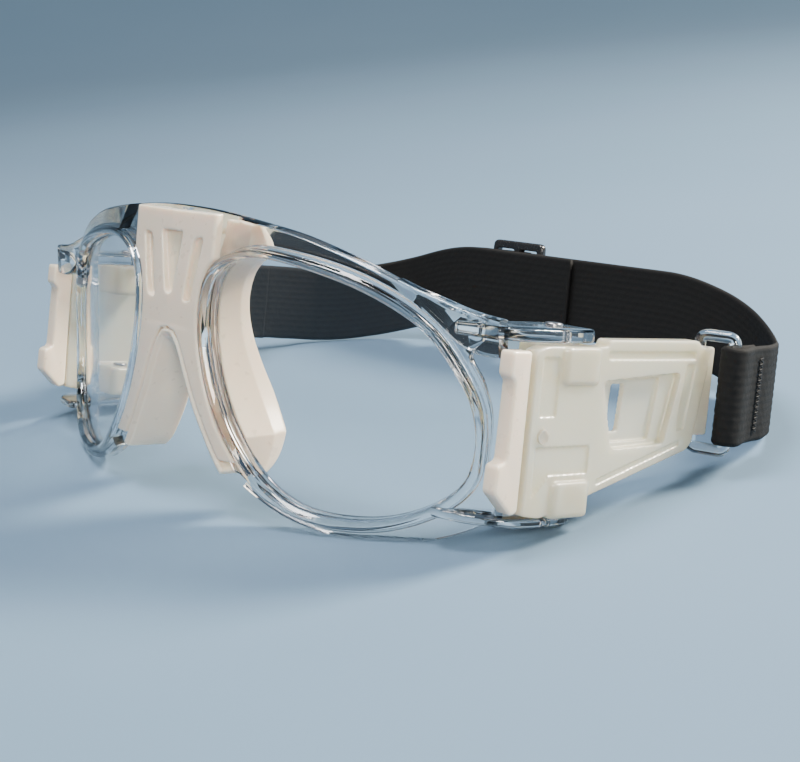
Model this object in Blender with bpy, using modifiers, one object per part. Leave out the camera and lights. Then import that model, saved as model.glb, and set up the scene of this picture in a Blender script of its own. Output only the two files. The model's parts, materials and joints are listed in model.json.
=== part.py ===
"""Sports protective goggles: wrapped one-piece front, folding side arms, swinging rings and elastic strap.

Units are metres, +Z up, the front of the goggles looks along -Y and the wearer's left side is +X.
The front is drawn on a cylinder (distance along the wrap, height, depth behind the face).
The side arms, rings and strap are drawn in a frame leaned back with the hinge axes.
"""
import bisect
import math

import bmesh
import bpy
from mathutils import Matrix, Vector

MM = 0.001
GAP = 0.3 * MM

# front
FACE_R = 112 * MM            # wrap radius of the front face
FACE_LEAN = 0.05             # how much the face leans back per height
FACE_SAG_R = 350 * MM        # vertical crown of the face
FACE_MID_Z = 27 * MM
OPENING_MID = (40 * MM, 28 * MM)
OPENING = [(11.5, 38), (13.5, 46), (21.5, 49.7), (33.5, 48.7), (47, 45.1), (58, 39.3), (65, 31),
           (67.6, 25), (68, 19.5), (66.3, 14), (61.8, 10), (55.2, 7), (47.5, 5.4), (38, 5.3), (31, 7),
           (24.5, 11), (17.8, 18.7), (13.3, 28.2)]
OUTLINE = [(-5, 57.7), (5, 57.6), (12, 57.2), (20, 56.3), (31.5, 54.5), (41, 51.9), (48.5, 49.3),
           (55, 46.6), (62.5, 43.4), (67, 42.6), (69.5, 42.2), (69.5, 38.5), (66.6, 35.4), (68.8, 31.3),
           (70.4, 27), (70.8, 23), (70.4, 17.5), (70.4, 13.2), (72.2, 10.5), (70.5, 7.2), (66, 4.7),
           (59, 2.6), (51, 1.7), (42, 1.8), (32, 3.5), (24.5, 6.5), (19, 9.6), (17.5, 9.9), (14.8, 13.6),
           (12, 18), (9.2, 22.8), (6.7, 28), (4.7, 32), (2.8, 34.5), (1.2, 35.4), (-5, 35.4)]
SHARP_OUTLINE = {0, 10, 11, 17, 18, 26, 27, 35}
RIM_COLUMNS = 60
BEAD_W = 2.2 * MM
WEB_FRONT = 0.9 * MM
BRIDGE_WEB_FRONT = 2.7 * MM
WEB_REAR = 4.2 * MM
BRIDGE_HALF_W = 13 * MM
GROOVE = (1.7 * MM, 3.6 * MM, 0.9 * MM)      # front wall, rear wall, depth into the rim
LENS_FRONT, LENS_REAR, LENS_LIP = 2.0 * MM, 3.3 * MM, 0.45 * MM
REST_TILT = math.radians(-7.1)               # lean of the whole object when it stands on rims and strap
FOOT_LEVEL = 0.78 * MM                       # height of the small flat under each rim, in the leaned pose

# bridge pad
COVER_FRONT, COVER_REAR = 0.5 * MM, 2.35 * MM
POCKET_DEPTH = 1.1 * MM

# side assembly, drawn upright and then leaned back
LEAN = math.radians(7)
HINGE = (67 * MM, 30.5 * MM)
PIN_R = 0.9 * MM
PIN_CLEAR = 0.08 * MM
UPPER_LUG = (41.6 * MM, 43.9 * MM)
LOWER_LUG = (9.8 * MM, 11.4 * MM)
UPPER_KNUCKLE = (34.6 * MM, 41.2 * MM)
LOWER_KNUCKLE = (11.8 * MM, 18.2 * MM)
ARM_X = (71.0 * MM, 74.4 * MM)
RING_PIVOT = (71.6 * MM, 65.0 * MM)
RING_REACH = (6.8 * MM, 1.7 * MM)
RING_Z = (21.5 * MM, 44.5 * MM)
RING_STOCK_R = 1.1 * MM

# strap
WEB_T = 1.2 * MM
WEB_W = 18 * MM
STRAP_Z = 23.85 * MM
CORNER = (72.6 * MM, 87 * MM)
BACK_MID_Y = 106 * MM
BACK_RISE = 10 * MM
BACK_LEVEL_X = 28 * MM                       # the lower edge is level between these
BACK_STRAIGHT_X = 46 * MM                    # the plan path is straight between these
OVERLAP = (-31 * MM, 2 * MM)                 # where the two halves lie one on the other
LAYER = WEB_T + GAP
SLIDER_X = -20 * MM
SLIDER_T = 0.9 * MM
WEAVE_DIP = 1.9 * MM
SLIDER_Y = BACK_MID_Y + WEB_T + GAP + WEAVE_DIP


# ---------------------------------------------------------------- shared helpers
def clear_scene():
    for old in list(bpy.data.objects):
        bpy.data.objects.remove(old, do_unlink=True)


def face_point(s, z, depth):
    """Point of the wrapped front: s along the wrap, z up, depth behind the face."""
    angle = s / FACE_R
    r = FACE_R - depth
    up = z - FACE_MID_Z
    y = FACE_R - r * math.cos(angle) + FACE_LEAN * up + up * up / (2 * FACE_SAG_R)
    return Vector((r * math.sin(angle), y, z))


def lean(x, y, z):
    """Point of the side assembly, leaned back about the X axis with the hinge axes."""
    return Vector((x, y * math.cos(LEAN) + z * math.sin(LEAN), -y * math.sin(LEAN) + z * math.cos(LEAN)))


def smooth(points, steps, closed=True, sharp=()):
    """Catmull-Rom curve through points given in millimetres; sharp points keep straight sides."""
    n = len(points)
    out = []
    for i in range(n if closed else n - 1):
        near = [(i + k) % n if closed else min(max(i + k, 0), n - 1) for k in (-1, 0, 1, 2)]
        p = [Vector(points[k]) * MM for k in near]
        m1 = (p[2] - p[0]) / 2 if i not in sharp else (p[2] - p[1])
        m2 = (p[3] - p[1]) / 2 if (i + 1) % n not in sharp else (p[2] - p[1])
        for j in range(steps):
            t = j / steps
            out.append((2 * t ** 3 - 3 * t ** 2 + 1) * p[1] + (t ** 3 - 2 * t ** 2 + t) * m1
                       + (3 * t ** 2 - 2 * t ** 3) * p[2] + (t ** 3 - t ** 2) * m2)
    if not closed:
        out.append(Vector(points[-1]) * MM)
    return out


def polar(loop, centre, angle):
    """Where the ray from centre at angle leaves the loop."""
    d = Vector((math.cos(angle), math.sin(angle)))
    best = 0.0
    for a, b in zip(loop, loop[1:] + loop[:1]):
        e, w = b - a, a - Vector(centre)
        det = d.x * -e.y + d.y * e.x
        if abs(det) < 1e-12:
            continue
        t = (w.x * -e.y + w.y * e.x) / det
        u = (d.x * w.y - d.y * w.x) / det
        if -1e-9 <= u <= 1 + 1e-9 and t > best:
            best = t
    return Vector(centre) + d * best


def interp(table, value):
    """Straight-line lookup in [(key, value), ...] sorted by key, in millimetres."""
    keys = [k * MM for k, _ in table]
    if value <= keys[0]:
        return table[0][1] * MM
    if value >= keys[-1]:
        return table[-1][1] * MM
    i = bisect.bisect_right(keys, value)
    (k0, v0), (k1, v1) = table[i - 1], table[i]
    return (v0 + (v1 - v0) * (value / MM - k0) / (k1 - k0)) * MM


def object_from(name, verts, faces):
    mesh = bpy.data.meshes.new(name)
    mesh.from_pydata([tuple(v) for v in verts], [], faces)
    bm = bmesh.new()
    bm.from_mesh(mesh)
    bmesh.ops.recalc_face_normals(bm, faces=bm.faces)
    bm.to_mesh(mesh)
    bm.free()
    obj = bpy.data.objects.new(name, mesh)
    BUILD.objects.link(obj)
    return obj


def loft(name, sections, closed=False):
    """Skin through equal-length sections; the ends are capped unless the loft closes on itself."""
    n, m = len(sections[0]), len(sections)
    verts = [v for section in sections for v in section]
    faces = []
    for i in range(m if closed else m - 1):
        a, b = i * n, ((i + 1) % m) * n
        faces += [(a + j, a + (j + 1) % n, b + (j + 1) % n, b + j) for j in range(n)]
    if not closed:
        faces += [tuple(range(n)), tuple(range((m - 1) * n, m * n))]
    return object_from(name, verts, faces)


def prism(name, outline, low, high, place):
    """Outline of (a, b) pairs pushed from low to high; place(a, b, c) gives the point."""
    return loft(name, [[place(a, b, c) for a, b in outline] for c in (low, high)])


def disc(centre, radius, steps=20):
    return [(centre[0] + radius * math.cos(2 * math.pi * i / steps),
             centre[1] + radius * math.sin(2 * math.pi * i / steps)) for i in range(steps)]


def rounded(points, radius, steps=4):
    """Polygon (millimetres) with its corners rounded; returns metres."""
    out = []
    pts = [Vector(p) * MM for p in points]
    for a, b, c in zip(pts[-1:] + pts[:-1], pts, pts[1:] + pts[:1]):
        u, v = (a - b), (c - b)
        cut = min(radius, u.length * 0.45, v.length * 0.45)
        start, end = b + u.normalized() * cut, b + v.normalized() * cut
        for i in range(steps + 1):
            t = i / steps
            out.append(tuple((1 - t) ** 2 * start + 2 * t * (1 - t) * b + t ** 2 * end))
    return out


def combine(obj, other, operation):
    """Boolean with the other solid moved to the cutters collection."""
    BUILD.objects.unlink(other)
    CUTTERS.objects.link(other)
    other.hide_render = True
    other.display_type = "WIRE"
    mod = obj.modifiers.new(operation.title(), "BOOLEAN")
    mod.operation = operation
    mod.solver = "EXACT"
    mod.object = other
    return obj


def bevel(obj, width, segments=2, angle=35):
    mod = obj.modifiers.new("Edge round", "BEVEL")
    mod.width = width
    mod.segments = segments
    mod.limit_method = "ANGLE"
    mod.angle_limit = math.radians(angle)
    mod.harden_normals = False
    return obj


def mirrored(obj, name):
    """The other side's copy, reflected in the X = 0 plane and applied."""
    depsgraph = bpy.context.evaluated_depsgraph_get()
    mesh = bpy.data.meshes.new_from_object(obj.evaluated_get(depsgraph), depsgraph=depsgraph)
    mesh.transform(Matrix.Diagonal((-1, 1, 1, 1)))
    mesh.flip_normals()
    mesh.name = name
    copy = bpy.data.objects.new(name, mesh)
    BUILD.objects.link(copy)
    return copy


def both_sides(obj, cut=False):
    """Repeats the solid on the other side; cut joins the two halves at X = 0."""
    mod = obj.modifiers.new("Both sides", "MIRROR")
    mod.use_axis[0] = True
    mod.use_bisect_axis[0] = cut
    mod.use_mirror_merge = cut
    mod.merge_threshold = 0.00002
    return obj


def material(name, colour, roughness, transmission=0.0, ior=1.5, metallic=0.0):
    mat = bpy.data.materials.new(name)
    mat.use_nodes = True
    shader = mat.node_tree.nodes["Principled BSDF"]
    shader.inputs["Base Color"].default_value = (*colour, 1)
    shader.inputs["Roughness"].default_value = roughness
    shader.inputs["Transmission Weight"].default_value = transmission
    shader.inputs["IOR"].default_value = ior
    shader.inputs["Metallic"].default_value = metallic
    return mat


def finish(obj, mat):
    obj.data.materials.clear()
    obj.data.materials.append(mat)
    for poly in obj.data.polygons:
        poly.use_smooth = False
    return obj


# ---------------------------------------------------------------- front
def opening_at(angle):
    return polar(OPENING_LOOP, OPENING_MID, angle)


def nasal_edge(z, width=0.0):
    """Where the opening's nose side, widened radially by width, stands at height z."""
    centre = Vector(OPENING_MID)
    loop = [p + (p - centre).normalized() * width for p in OPENING_LOOP]
    found = []
    for a, b in zip(loop, loop[1:] + loop[:1]):
        if (a.y - z) * (b.y - z) <= 0 and a.y != b.y:
            found.append(a.x + (b.x - a.x) * (z - a.y) / (b.y - a.y))
    return min(found, default=OPENING_MID[0])


def rim_section(angle):
    """Closed section of the rim and web at one angle round the opening."""
    inner = opening_at(angle)
    outer = polar(OUTLINE_LOOP, OPENING_MID, angle)
    span = (outer - inner).length
    out = (outer - inner) / span
    squeeze = min(1.0, span / (BEAD_W + 1.1 * MM))
    in_bridge = outer.x < BRIDGE_HALF_W + (4 if outer.y > OPENING_MID[1] else 8) * MM
    web = BRIDGE_WEB_FRONT if in_bridge else WEB_FRONT
    front, rear, groove = GROOVE
    near = [(0, 1.1), (0.35, 0.3), (1.0, 0.0), (1.6, 0.15), (2.0, 0.7)]
    section = [(near_off * MM * squeeze, depth * MM) for near_off, depth in near]
    section.append((BEAD_W * squeeze, web))
    far = [(0.7, 0.0), (0.15, 0.25), (0, 0.7)]
    section += [(span - off * MM * squeeze, web + depth * MM) for off, depth in far]
    section += [(span - off * MM * squeeze, WEB_REAR - depth * MM) for off, depth in reversed(far)]
    section += [(BEAD_W * squeeze, WEB_REAR), (1.6 * MM * squeeze, 4.65 * MM)]
    section += [(0.5 * MM, 4.7 * MM), (0, 4.3 * MM)]
    section += [(0, rear), (groove * squeeze, rear), (groove * squeeze, front), (0, front)]
    points = []
    for offset, depth in section:
        p = inner + out * offset
        points.append(face_point(p.x, p.y, depth))
    return points


def lug(name, span):
    """Horizontal ear that carries one end of the hinge pins."""
    outline = rounded([(55, 10), (64, 11), (72.5, 17), (73.6, 24), (73.4, 34.5), (70.5, 36.6), (63.5, 36.6),
                       (60.6, 33.6), (60, 24), (55, 16)], 2.4 * MM)
    return prism(name, outline, span[0], span[1], lean)


def lower_lug(name, span):
    """Tongue under the arm that carries the lower pin."""
    outline = rounded([(58, 13), (66, 15), (71.5, 20), (72.4, 27), (72, 34), (68.5, 36), (63.5, 35),
                       (61.5, 31), (60.5, 23), (57, 18)], 2.4 * MM)
    return prism(name, outline, span[0], span[1], lean)


def build_front(mat):
    step = 2 * math.pi / RIM_COLUMNS
    halves = [step * i / 2 for i in range(2 * RIM_COLUMNS)]
    angles = [a for i, a in enumerate(halves) if i % 2 == 0 or math.radians(150) < a < 3.9]
    front = both_sides(loft("frame_front", [rim_section(a) for a in angles], closed=True), cut=True)
    combine(front, both_sides(lug("upper_lug", UPPER_LUG)), "UNION")
    combine(front, both_sides(lower_lug("lower_lug", LOWER_LUG)), "UNION")
    for name, span in (("upper_bore", (39 * MM, 46 * MM)), ("lower_bore", (6 * MM, 13 * MM))):
        bore = prism(name, disc(HINGE, PIN_R + PIN_CLEAR), *span, lean)
        combine(front, both_sides(bore), "DIFFERENCE")
    combine(front, foot_cutter(), "DIFFERENCE")
    return finish(front, mat)


def foot_cutter():
    """Slab that grinds the flats under the rims, square to the resting direction."""
    def place(x, y, z):
        turned = Matrix.Rotation(-REST_TILT, 3, "X") @ Vector((0, y, z))
        return Vector((x, turned.y, turned.z))
    outline = [(-70 * MM, -10 * MM), (70 * MM, -10 * MM), (70 * MM, 45 * MM), (-70 * MM, 45 * MM)]
    return prism("foot_cutter", outline, FOOT_LEVEL - 6 * MM, FOOT_LEVEL, place)


def build_lens(mat):
    columns, rings = 48, (1.0, 0.8, 0.55, 0.3)
    verts, faces = [], []
    for depth in (LENS_FRONT, LENS_REAR):
        for ring in rings:
            for i in range(columns):
                angle = 2 * math.pi * i / columns
                edge = opening_at(angle)
                mid = Vector(OPENING_MID)
                reach = (edge - mid).length + LENS_LIP
                p = mid + (edge - mid).normalized() * reach * ring
                verts.append(face_point(p.x, p.y, depth))
        verts.append(face_point(*OPENING_MID, depth))
    side = len(rings) * columns + 1
    for base in (0, side):
        for r in range(len(rings) - 1):
            for i in range(columns):
                j = (i + 1) % columns
                faces.append((base + r * columns + i, base + r * columns + j,
                              base + (r + 1) * columns + j, base + (r + 1) * columns + i))
        last = base + (len(rings) - 1) * columns
        faces += [(last + i, last + (i + 1) % columns, base + side - 1) for i in range(columns)]
    faces += [(i, (i + 1) % columns, side + (i + 1) % columns, side + i) for i in range(columns)]
    return finish(object_from("lens_left", verts, faces), mat)


# ---------------------------------------------------------------- bridge pad
ARCH = [(35.4, -3), (35.3, 0.6), (34.5, 2.6), (32, 4.5), (28, 6.5), (22.8, 9.0), (18, 11.8), (13.6, 14.6),
        (11.2, 16.4)]


def build_bridge_pad(mat):
    pad = both_sides(bridge_cover(), cut=True)
    combine(pad, both_sides(nose_flange(), cut=True), "UNION")
    combine(pad, both_sides(nose_wing()), "UNION")
    for cutter in bridge_pockets():
        combine(pad, cutter, "DIFFERENCE")
    return finish(pad, mat)


def bridge_cover():
    """Plate over the front of the bridge, between the two rim beads."""
    arch = sorted(ARCH)
    sections = []
    heights = [12.2, 14, 17, 20, 23, 26, 29, 32, 34, 35.2, 36.5, 39, 42, 45, 48, 50, 51.5, 53.5, 55.3, 56.9]
    for z in (h * MM for h in heights):
        left = interp(arch, z) - 0.2 * MM if z < 35.4 * MM else -3 * MM
        right = min(nasal_edge(z, BEAD_W) - GAP, BRIDGE_HALF_W if z > OPENING_MID[1] else 1)
        right = max(right, left + 1.0 * MM)
        soft = 0.35 * MM
        ring = [(left, COVER_REAR), (left, COVER_FRONT + soft), (left + soft, COVER_FRONT),
                (right - soft, COVER_FRONT), (right, COVER_FRONT + soft), (right, COVER_REAR)]
        sections.append([face_point(s, z, d) for s, d in ring])
    return loft("nose_bridge_pad", sections)


def nose_flange():
    """Band that lines the nose arch from the front face back to the soft lip."""
    front = smooth([(-3, 35.4), (1.2, 35.3), (2.7, 34.4), (4.6, 32), (6.6, 28), (9.1, 22.8), (11.9, 18),
                    (14.7, 13.6), (17, 10.6)], 2, closed=False)
    lip = smooth([(-3, 28.0), (1.2, 27.9), (2.9, 26.9), (4.4, 24.6), (5.9, 21.4), (8.0, 17.4), (10.4, 13.6),
                  (13, 10.2), (15.6, 8.2)], 2, closed=False)
    sections = []
    for i, (f, r) in enumerate(zip(front, lip)):
        ahead, behind = front[min(i + 1, len(front) - 1)], front[max(i - 1, 0)]
        along = (ahead - behind).normalized()
        inward = Vector((along.y, -along.x))
        if inward.y > 0:
            inward = -inward
        f0, f1 = f + inward * 0.6 * MM, f + inward * 2.1 * MM
        r1, r0 = r, r - inward * 4.4 * MM
        back_y = 11.5 * MM
        edge = f0 + inward * 0.4 * MM
        mid = (r0 + r1) / 2
        sections.append([face_point(f0.x, f0.y, 5.2 * MM), face_point(f0.x, f0.y, COVER_FRONT + 0.4 * MM),
                         face_point(edge.x, edge.y, COVER_FRONT), face_point(f1.x, f1.y, 1.2 * MM),
                         Vector((r1.x, back_y - 0.8 * MM, r1.y)), Vector((mid.x, back_y, mid.y)),
                         Vector((r0.x, back_y - 0.8 * MM, r0.y))])
    return loft("nose_flange", sections)


def nose_wing():
    """Side wall of the pad, from behind the brow down to the tip of the nose rim."""
    inner = [(8, 17.4), (12, 15), (18, 11.4), (24, 8.4), (30, 6.8), (36, 7.4), (44, 7.8), (52, 9.6)]
    rear = [(8.4, 8.4), (9.2, 10.5), (10.6, 12.5), (13, 14.3), (17, 15.7), (22.5, 16), (28, 15), (34, 13.8),
            (40, 13.3), (46, 13.8), (50, 13.4), (52.5, 12), (54.6, 10.4)]
    heights = [8.4, 9.2, 10.6, 13, 16, 20, 24, 28, 32, 36, 40, 44, 47, 50, 52.4, 53.8, 54.6]
    sections = []
    for z in (h * MM for h in heights):
        x_in, y_rear = interp(inner, z), interp(rear, z)
        x_out = max(min(nasal_edge(z), 19.5 * MM) - 0.5 * MM, x_in + 1.5 * MM)
        start = face_point(x_out, z, 5.1 * MM)
        depth = y_rear - start.y
        x_mid = min(x_in + 0.4 * MM, x_out - 2.6 * MM)
        sections.append([Vector((x_in, start.y, z)), start,
                         Vector((x_out + 0.5 * MM, start.y + depth * 0.6, z)),
                         Vector((x_out + 0.2 * MM, start.y + depth * 0.92, z)),
                         Vector((x_out - 0.9 * MM, y_rear, z)),
                         Vector((x_out - 2.1 * MM, y_rear - 0.7 * MM, z)),
                         Vector((x_mid, start.y + depth * 0.55, z))])
    return loft("nose_wing", sections)


def bridge_pockets():
    """Recesses in the face of the bridge pad: one tapered, one slanted on each side."""
    bottom = COVER_FRONT + POCKET_DEPTH
    middle = rounded([(-3.5, 53.2), (3.5, 53.2), (1.1, 41.4), (-1.1, 41.4)], 1.0 * MM)
    slanted = rounded([(6.7, 52.0), (9.7, 52.6), (7.1, 40.6), (4.5, 40.2)], 1.3 * MM)
    return [prism("pocket_middle", middle, -1 * MM, bottom, face_point),
            both_sides(prism("pocket_slanted", slanted, -1 * MM, bottom, face_point))]


# ---------------------------------------------------------------- side arm
def side_prism(name, outline, x_low, x_high):
    """Outline of (along, up) pairs extruded sideways in the leaned frame."""
    return loft(name, [[lean(x, y, z) for y, z in outline] for x in (x_low, x_high)])


def build_arm(mat):
    x_in, x_out = ARM_X
    body = rounded([(19.5, 40.3), (19.5, 12.6), (24, 11.9), (34, 14.8), (60.8, 22.4), (62.2, 23.6),
                    (65.4, 41.2), (62.6, 41.2), (61.4, 42.4), (37.4, 42.4), (37, 41.2), (22, 41.2)],
                   0.9 * MM)
    arm = side_prism("arm_left", body, x_in, x_out)
    barrel = rounded([(60.5, 24.9), (67.3, 24.9), (67.3, 41.2), (60.5, 41.2)], 0.4 * MM, 2)
    combine(arm, side_prism("rear_barrel", barrel, x_in - 1.6 * MM, x_out - 0.9 * MM), "UNION")
    for name, span in (("upper_knuckle", UPPER_KNUCKLE), ("lower_knuckle", LOWER_KNUCKLE)):
        combine(arm, knuckle(name, span), "UNION")
        bore = prism(name + "_bore", disc(HINGE, PIN_R + PIN_CLEAR), span[0] - 2 * MM, span[1] + 2 * MM, lean)
        combine(arm, bore, "DIFFERENCE")
    window = rounded([(36.6, 35.2), (57.2, 36.6), (54.2, 23.8), (40.2, 23.2)], 1.2 * MM)
    combine(arm, side_prism("window", window, x_out - 1.5 * MM, x_out + 2 * MM), "DIFFERENCE")
    step = rounded([(39.8, 35.2), (53.2, 35.6), (51.4, 24.4), (40.4, 24.2)], 0.9 * MM)
    combine(arm, side_prism("window_step", step, x_out - 2.3 * MM, x_out), "DIFFERENCE")
    slot = rounded([(41.2, 34.4), (43.4, 34.4), (42.9, 26), (40.7, 26)], 0.5 * MM)
    combine(arm, side_prism("through_slot", slot, x_in - 2 * MM, x_out + 2 * MM), "DIFFERENCE")
    bore = prism("ring_bore", disc(RING_PIVOT, RING_STOCK_R + 0.15 * MM), 20 * MM, 46 * MM, lean)
    combine(arm, bore, "DIFFERENCE")
    return finish(arm, mat)


def knuckle(name, span):
    """Block that reaches in from the arm to the hinge pin."""
    low, high = (value / MM for value in span)
    x, y = (value / MM for value in HINGE)
    plan = rounded([(x - 4.4, y - 4.4), (x + 5, y - 5), (75.3, y - 4.6), (75.3, y + 4.6), (x + 5, y + 5),
                    (x - 4.4, y + 4.4)], 2.0 * MM)
    return prism(name, plan, low * MM, high * MM, lean)


def build_temple_pad(mat):
    """Soft strip along the front edge of the arm, with a tab at the top and one at the bottom."""
    outline = rounded([(14.5, 40.3), (19.0, 40.3), (19.0, 13.2), (17.5, 12.6), (13.2, 16.6), (13.4, 21.2),
                       (15.2, 21.9), (15.5, 35.3), (14.4, 36.2)], 0.6 * MM, 3)
    strip = side_prism("temple_pad_left", outline, 70.6 * MM, 73.9 * MM)
    bevel(strip, 0.4 * MM)
    return finish(strip, mat)


def build_pad_stud(mat):
    """Small round plug that holds the soft strip to the arm."""
    outline = disc((22.6 * MM, 26 * MM), 1.3 * MM)
    return finish(side_prism("arm_plug_left", outline, ARM_X[1] + 0.05 * MM, ARM_X[1] + 0.45 * MM), mat)


def build_pin(name, low, high, mat):
    pin = prism(name, disc(HINGE, PIN_R, 20), low, high, lean)
    head = prism(name + "_head", disc(HINGE, PIN_R + 0.7 * MM, 20), high, high + 0.45 * MM, lean)
    combine(pin, head, "UNION")
    return finish(pin, mat)


def build_ring(mat):
    """Closed rectangular loop: one upright in the arm's barrel, the other carries the strap."""
    x0, y0 = RING_PIVOT
    x1, y1 = x0 + RING_REACH[0], y0 + RING_REACH[1]
    low, high = RING_Z[0] + RING_STOCK_R, RING_Z[1] - RING_STOCK_R
    corner = 1.4 * MM
    across = Vector((x1 - x0, y1 - y0)).normalized()
    width = Vector((x1 - x0, y1 - y0)).length
    centres = [(corner, low + corner, 180), (width - corner, low + corner, 270),
               (width - corner, high - corner, 0), (corner, high - corner, 90)]
    sections = []
    for u, v, start in centres:
        for i in range(5):
            a = math.radians(start + i * 22.5)
            out_u, out_v = math.cos(a), math.sin(a)
            cu, cv = u + corner * out_u, v + corner * out_v
            ring = []
            for k in range(12):
                b = 2 * math.pi * k / 12
                du, side = RING_STOCK_R * math.cos(b), RING_STOCK_R * math.sin(b)
                pu, pv = cu + out_u * du, cv + out_v * du
                x = x0 + across.x * pu - across.y * side
                y = y0 + across.y * pu + across.x * side
                ring.append(lean(x, y, pv))
            sections.append(ring)
    return finish(loft("ring_left", sections, closed=True), mat)


# ---------------------------------------------------------------- strap
def webbing(name, path, lift, mat, height=WEB_W):
    """Upright band of webbing along a plan path; lift(x) gives its lower edge."""
    points = [Vector(p) for p in path]
    sections = []
    for i, p in enumerate(points):
        along = (points[min(i + 1, len(points) - 1)] - points[max(i - 1, 0)]).normalized()
        side = Vector((-along.y, along.x)) * WEB_T / 2
        low = lift(p.x)
        corners = [(p - side, low), (p + side, low), (p + side, low + height), (p - side, low + height)]
        sections.append([lean(q.x, q.y, z) for q, z in corners])
    return finish(loft(name, sections), mat)


def flat_lift(x):
    return STRAP_Z


def back_lift(x):
    """The back of the strap climbs from each corner and runs level across the middle."""
    t = min(1.0, max(0.0, (CORNER[0] - abs(x)) / (CORNER[0] - BACK_LEVEL_X)))
    return STRAP_Z + BACK_RISE * math.sin(math.pi / 2 * t) ** 1.67


def back_y(x):
    t = max(0.0, abs(x) - BACK_STRAIGHT_X) / (CORNER[0] - BACK_STRAIGHT_X)
    return BACK_MID_Y - (BACK_MID_Y - CORNER[1]) * t ** 1.8


def strap_side_path():
    """Sewn loop round the ring's free bar, then back to the corner of the strap."""
    bar = Vector((RING_PIVOT[0] + RING_REACH[0], RING_PIVOT[1] + RING_REACH[1]))
    corner = Vector(CORNER)
    along = (corner - bar).normalized()
    out = Vector((along.y, -along.x))
    radius = RING_STOCK_R + GAP + WEB_T / 2
    inner_shape = [(11, -0.78), (8.6, -0.78), (6.2, -0.85), (3.6, -1.4), (1.6, -1.9)]
    outer_shape = [(1.6, 1.9), (3.6, 1.5), (6.2, 1.0), (8.6, 0.85), (11, 0.8), (14, 0.9), (16.5, 0.6)]
    inner = [bar + along * u * MM + out * v * MM for u, v in inner_shape]
    outer = [bar + along * u * MM + out * v * MM for u, v in outer_shape]
    loop = []
    for i in range(9):
        a = math.radians(180 + 22.5 * i)
        loop.append(bar + out * math.cos(a) * radius + along * math.sin(a) * radius)
    reach = (corner - bar).length
    return inner + loop + outer + [bar + along * (reach - 0.9 * MM)]


def back_path(end, inward=0.0, steps=14):
    """Plan path of half the strap's back, from the +X corner to x = end."""
    points = []
    start = CORNER[0] - 0.9 * MM
    for i in range(steps + 1):
        x = start + (end - start) * (i / steps) ** 1.4
        points.append(Vector((x, back_y(x) - inward)))
    return points


def weave_path():
    """A short tail of webbing: under one side bar, over the middle bar, under the other."""
    shape = [(9.5, -1), (7.2, -1), (5.2, -0.76), (3.6, 0), (2.2, 0.76), (0, 1), (-2.2, 0.76), (-3.6, 0),
             (-5.2, -0.76), (-7.2, -1), (-10, -1), (-16, -1)]
    return [Vector((SLIDER_X + u * MM, SLIDER_Y + v * WEAVE_DIP)) for u, v in shape]


def build_straps(mat):
    side = webbing("strap_side_left", strap_side_path(), flat_lift, mat)
    mirrored(side, "strap_side_right")
    webbing("strap_back_left", back_path(OVERLAP[0]), back_lift, mat)
    inner = [Vector((-p.x, p.y)) for p in back_path(-OVERLAP[1])]
    inner = [p - Vector((0, LAYER * min(1.0, (CORNER[0] + p.x) / (12 * MM)))) for p in inner]
    webbing("strap_back_right", inner, back_lift, mat)
    webbing("strap_tail", weave_path(), back_lift, mat)


def build_slider(mat):
    """Three-bar slide with two slots."""
    low = back_lift(SLIDER_X) - 0.4 * MM
    outer = rounded([(-8.2, -1.9), (8.2, -1.9), (8.2, 20.7), (-8.2, 20.7)], 1.4 * MM)

    def place(u, v, w):
        return lean(SLIDER_X + u, SLIDER_Y + w, low + v)

    slider = prism("slider", outer, -SLIDER_T, SLIDER_T, place)
    for name, sign in (("slot_a", 1), ("slot_b", -1)):
        near, far = sign * 0.9, sign * 6.5
        slot = rounded([(near, 0), (far, 0), (far, 18.8), (near, 18.8)], 0.6 * MM, 3)
        combine(slider, prism(name, slot, -3 * MM, 3 * MM, place), "DIFFERENCE")
    return finish(slider, mat)


def build_tail_tack(mat):
    """Sewn bar that holds the tail of webbing beside the slider."""
    x, y = SLIDER_X - 13 * MM, SLIDER_Y - WEAVE_DIP + WEB_T / 2
    near, far = y + 0.05 * MM, y + 0.4 * MM
    plan = [(x, near), (x + 1.4 * MM, near), (x + 1.4 * MM, far), (x, far)]
    low = back_lift(x)
    return finish(prism("bar_tack_tail", plan, low + 2 * MM, low + WEB_W - 2 * MM, lean), mat)


def build_tack(name, height, mat):
    """Sewn bar across the doubled webbing behind the ring."""
    bar = Vector((RING_PIVOT[0] + RING_REACH[0], RING_PIVOT[1] + RING_REACH[1]))
    along = (Vector(CORNER) - bar).normalized()
    out = Vector((along.y, -along.x))
    plan = []
    for u, v in ((height, 1.5), (height + 1.3, 1.5), (height + 1.3, 1.85), (height, 1.85)):
        plan.append(tuple(bar + along * u * MM + out * v * MM))
    return finish(prism(name, plan, STRAP_Z + 2 * MM, STRAP_Z + WEB_W - 2 * MM, lean), mat)


# ---------------------------------------------------------------- assembly
def rest_matrix(parts):
    """Leans the object back onto rims and strap, then centres its footprint on the origin."""
    turn = Matrix.Rotation(REST_TILT, 4, "X")
    bpy.context.view_layer.update()
    depsgraph = bpy.context.evaluated_depsgraph_get()
    points = []
    for obj in parts:
        shown = obj.evaluated_get(depsgraph)
        points += [turn @ v.co for v in shown.to_mesh().vertices]
        shown.to_mesh_clear()
    low = [min(p[i] for p in points) for i in range(3)]
    high = [max(p[i] for p in points) for i in range(3)]
    return Matrix.Translation((-(low[0] + high[0]) / 2, -(low[1] + high[1]) / 2, -low[2])) @ turn


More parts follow.
